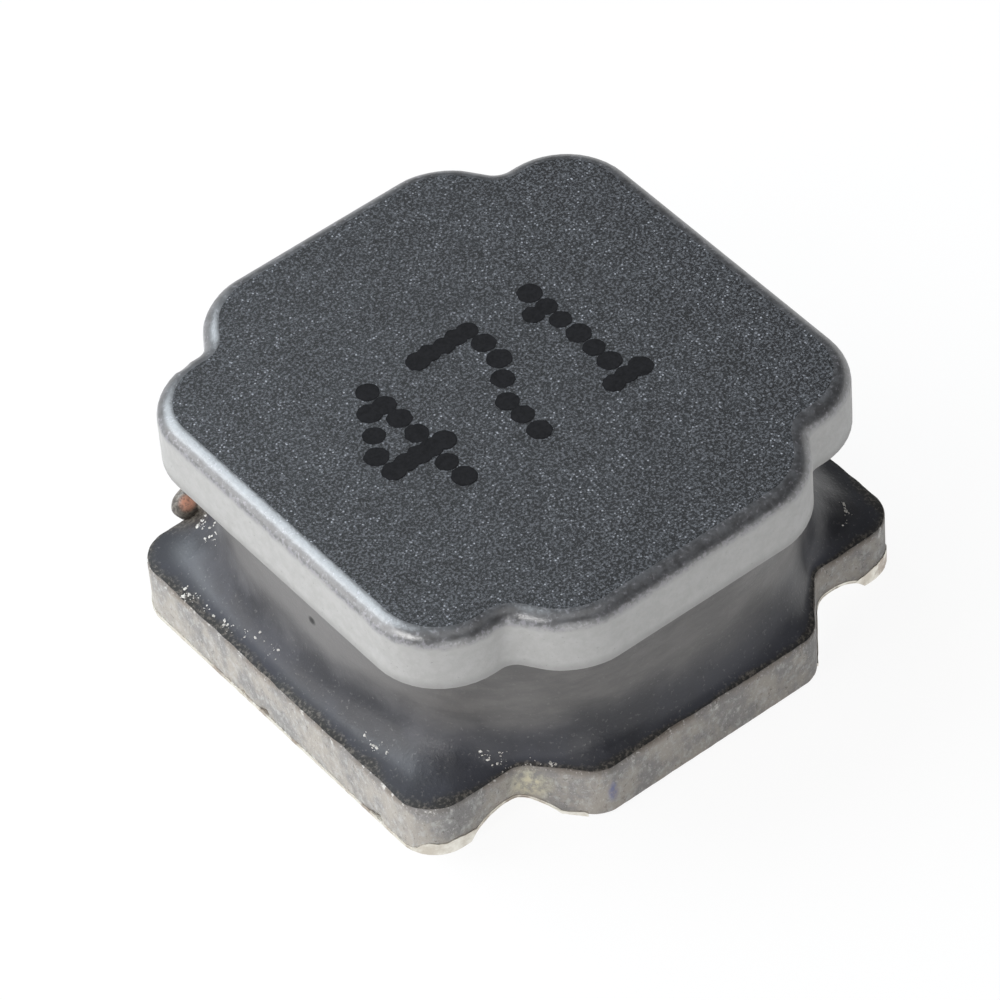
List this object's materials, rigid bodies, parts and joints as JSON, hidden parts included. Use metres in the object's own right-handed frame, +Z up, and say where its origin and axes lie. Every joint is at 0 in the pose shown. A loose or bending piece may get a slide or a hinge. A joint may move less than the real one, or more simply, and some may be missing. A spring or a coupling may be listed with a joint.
{
  "type": "shielded smd inductor",
  "caption": "Low square surface-mount power inductor: ferrite drum core with notched flanges, copper coil, concave magnetic resin shield and soldered end electrodes.",
  "frame": {"origin": "middle of the underside, in the plane of the electrodes", "axes": "+Z up, +X from the left electrode to the right one, +Y towards the notches where the wire comes down"},
  "size_m": [0.006, 0.006, 0.0027],
  "materials": {
    "ferrite": "fine-grained sintered ferrite, satin",
    "copper_wire": "enamelled copper, glossy",
    "magnetic_resin": "smooth powder-filled epoxy, satin",
    "tin_plating": "dull tin plating",
    "solder": "reflowed solder"
  },
  "bodies": {
    "root": {"drum_core": "ferrite", "winding": "copper_wire", "shield_resin": "magnetic_resin", "electrode_left": "tin_plating", "electrode_right": "tin_plating", "solder_left": "solder", "solder_right": "solder"}
  },
  "joints": []
}
